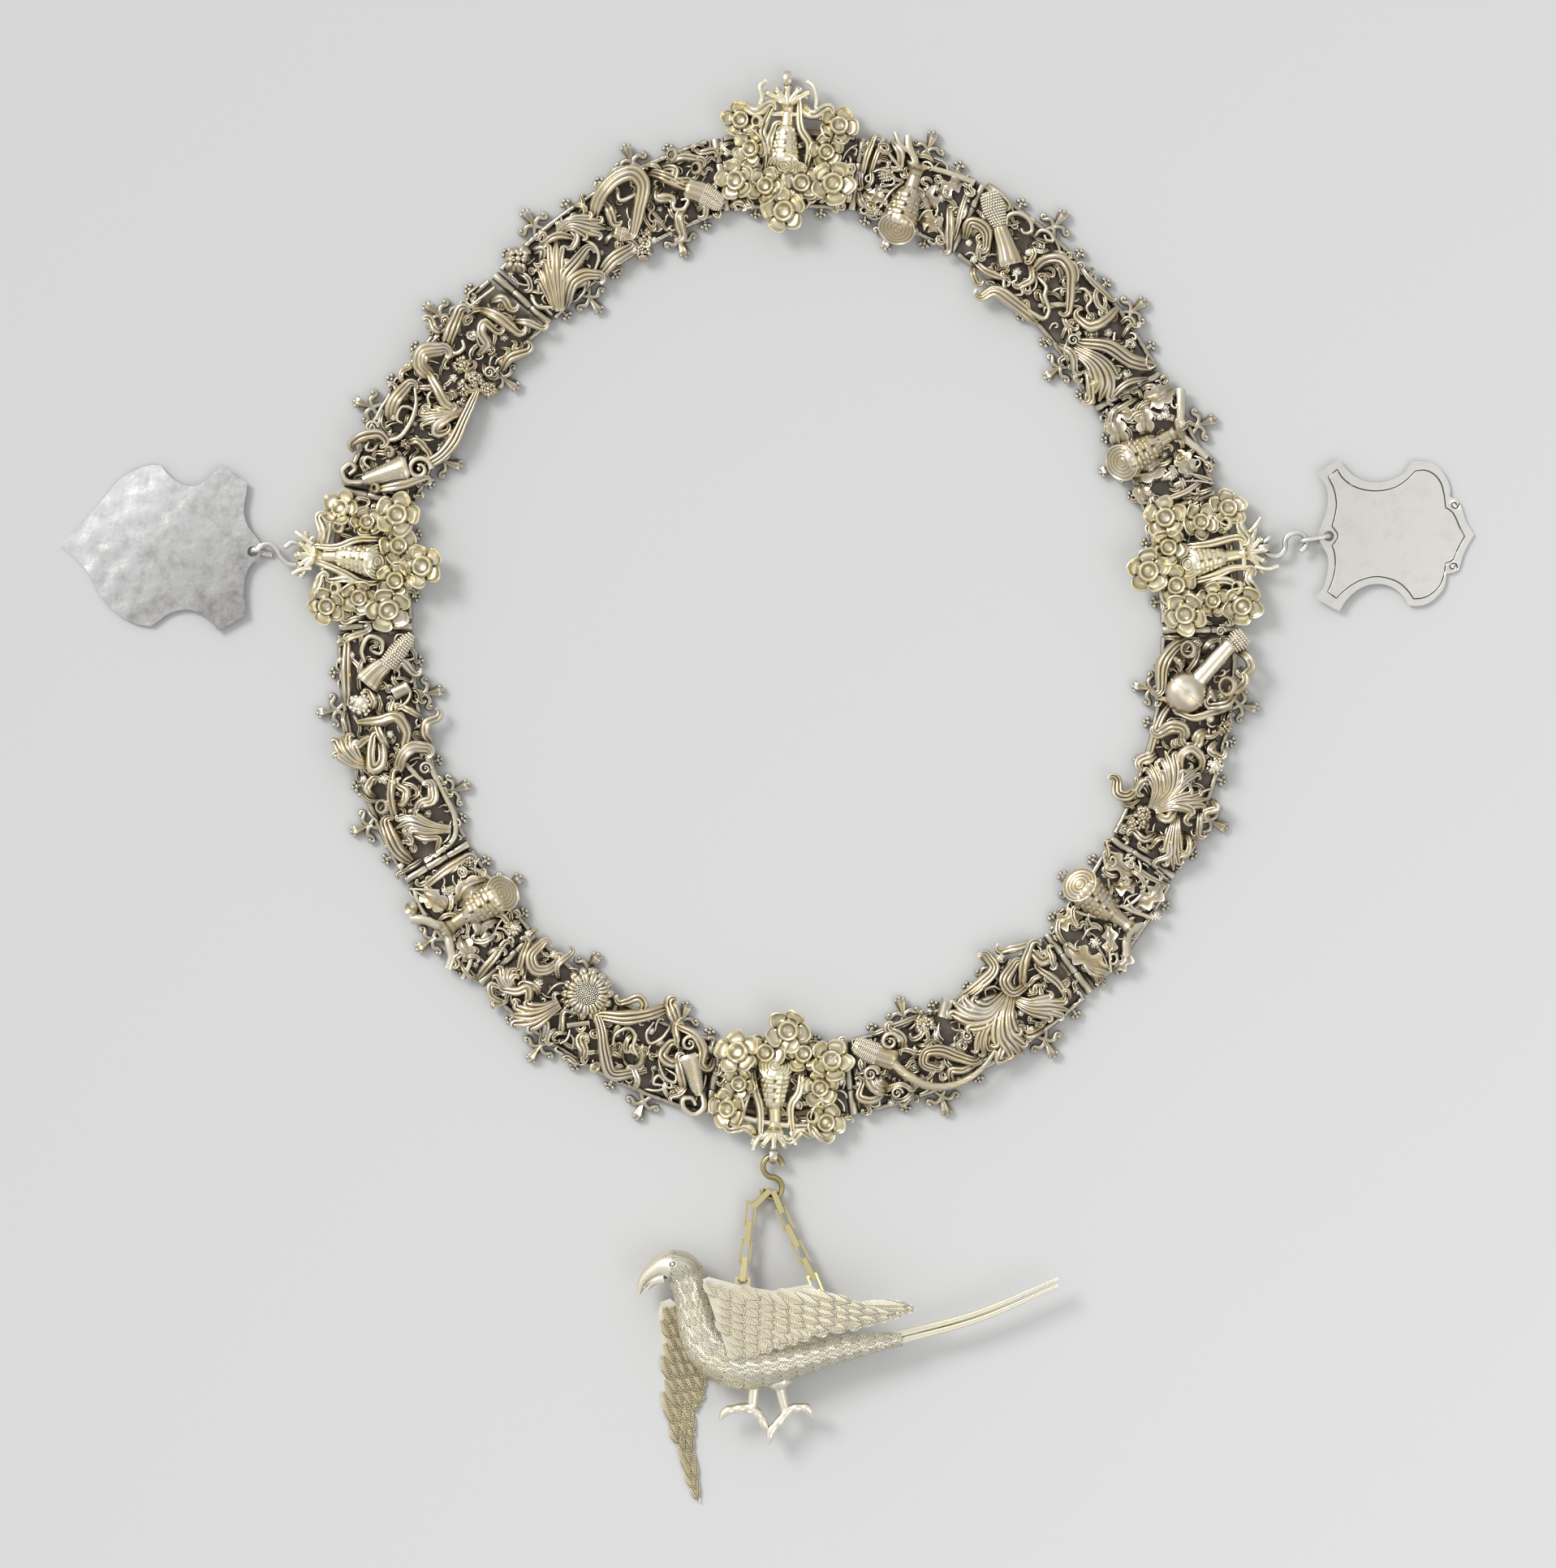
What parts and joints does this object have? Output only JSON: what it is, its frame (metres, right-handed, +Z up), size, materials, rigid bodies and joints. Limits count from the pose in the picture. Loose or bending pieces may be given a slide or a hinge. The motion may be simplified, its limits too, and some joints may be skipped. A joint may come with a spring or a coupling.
{
  "type": "ceremonial guild collar",
  "caption": "Ceremonial collar of hinged openwork links with cast leaves and roses, two shield tags on rings and a flying bird on two short chains, laid out flat.",
  "frame": {"origin": "centre of the bounding box in plan, at the undersides of the links, which lie on z = 0", "axes": "+Z up, out of the collar's face; +Y from the bird towards the medallion at the nape; +X to the right as the collar lies face up"},
  "size_m": [0.5582, 0.5658, 0.0226],
  "materials": {
    "silver": "tarnished sterling silver, rolled and soldered, satin",
    "silver_gilt": "cast sterling silver, worn parcel gilding, polished on high places and dark in recesses",
    "pale_silver": "bare sterling silver, hammered or engraved sheet and round drawn wire",
    "pin_silver": "drawn silver wire hinge pin, dull"
  },
  "bodies": {
    "root": {"medallion_top_plate": "silver", "medallion_top_wreath": "silver_gilt", "medallion_right_plate": "silver", "medallion_right_wreath": "silver_gilt", "medallion_bottom_plate": "silver", "medallion_bottom_wreath": "silver_gilt", "medallion_left_plate": "silver", "medallion_left_wreath": "silver_gilt", "link_a1_plate": "silver", "link_a1_foliage": "silver_gilt", "link_a2_plate": "silver", "link_a2_foliage": "silver_gilt", "link_a3_plate": "silver", "link_a3_foliage": "silver_gilt", "link_b1_plate": "silver", "link_b1_foliage": "silver_gilt", "link_b2_plate": "silver", "link_b2_foliage": "silver_gilt", "link_b3_plate": "silver", "link_b3_foliage": "silver_gilt", "link_c1_plate": "silver", "link_c1_foliage": "silver_gilt", "link_c2_plate": "silver", "link_c2_foliage": "silver_gilt", "link_c3_plate": "silver", "link_c3_foliage": "silver_gilt", "link_d1_plate": "silver", "link_d1_foliage": "silver_gilt", "link_d2_plate": "silver", "link_d2_foliage": "silver_gilt", "hinge_pin_01": "pin_silver", "hinge_pin_02": "pin_silver", "hinge_pin_03": "pin_silver", "hinge_pin_04": "pin_silver", "hinge_pin_05": "pin_silver", "hinge_pin_06": "pin_silver", "hinge_pin_07": "pin_silver", "hinge_pin_08": "pin_silver", "hinge_pin_09": "pin_silver", "hinge_pin_10": "pin_silver", "hinge_pin_11": "pin_silver", "hinge_pin_12": "pin_silver", "hinge_pin_13": "pin_silver", "hinge_pin_14": "pin_silver", "hinge_pin_15": "pin_silver", "hook_left": "pale_silver", "hook_right": "pale_silver", "ring_right": "pale_silver", "shield_left": "pale_silver", "shield_right": "pale_silver", "hook_bottom": "silver_gilt", "strand_left": "silver_gilt", "strand_right": "silver_gilt", "bird_body": "silver_gilt", "bird_near_wing": "silver_gilt", "bird_far_wing": "silver_gilt"}
  },
  "joints": []
}
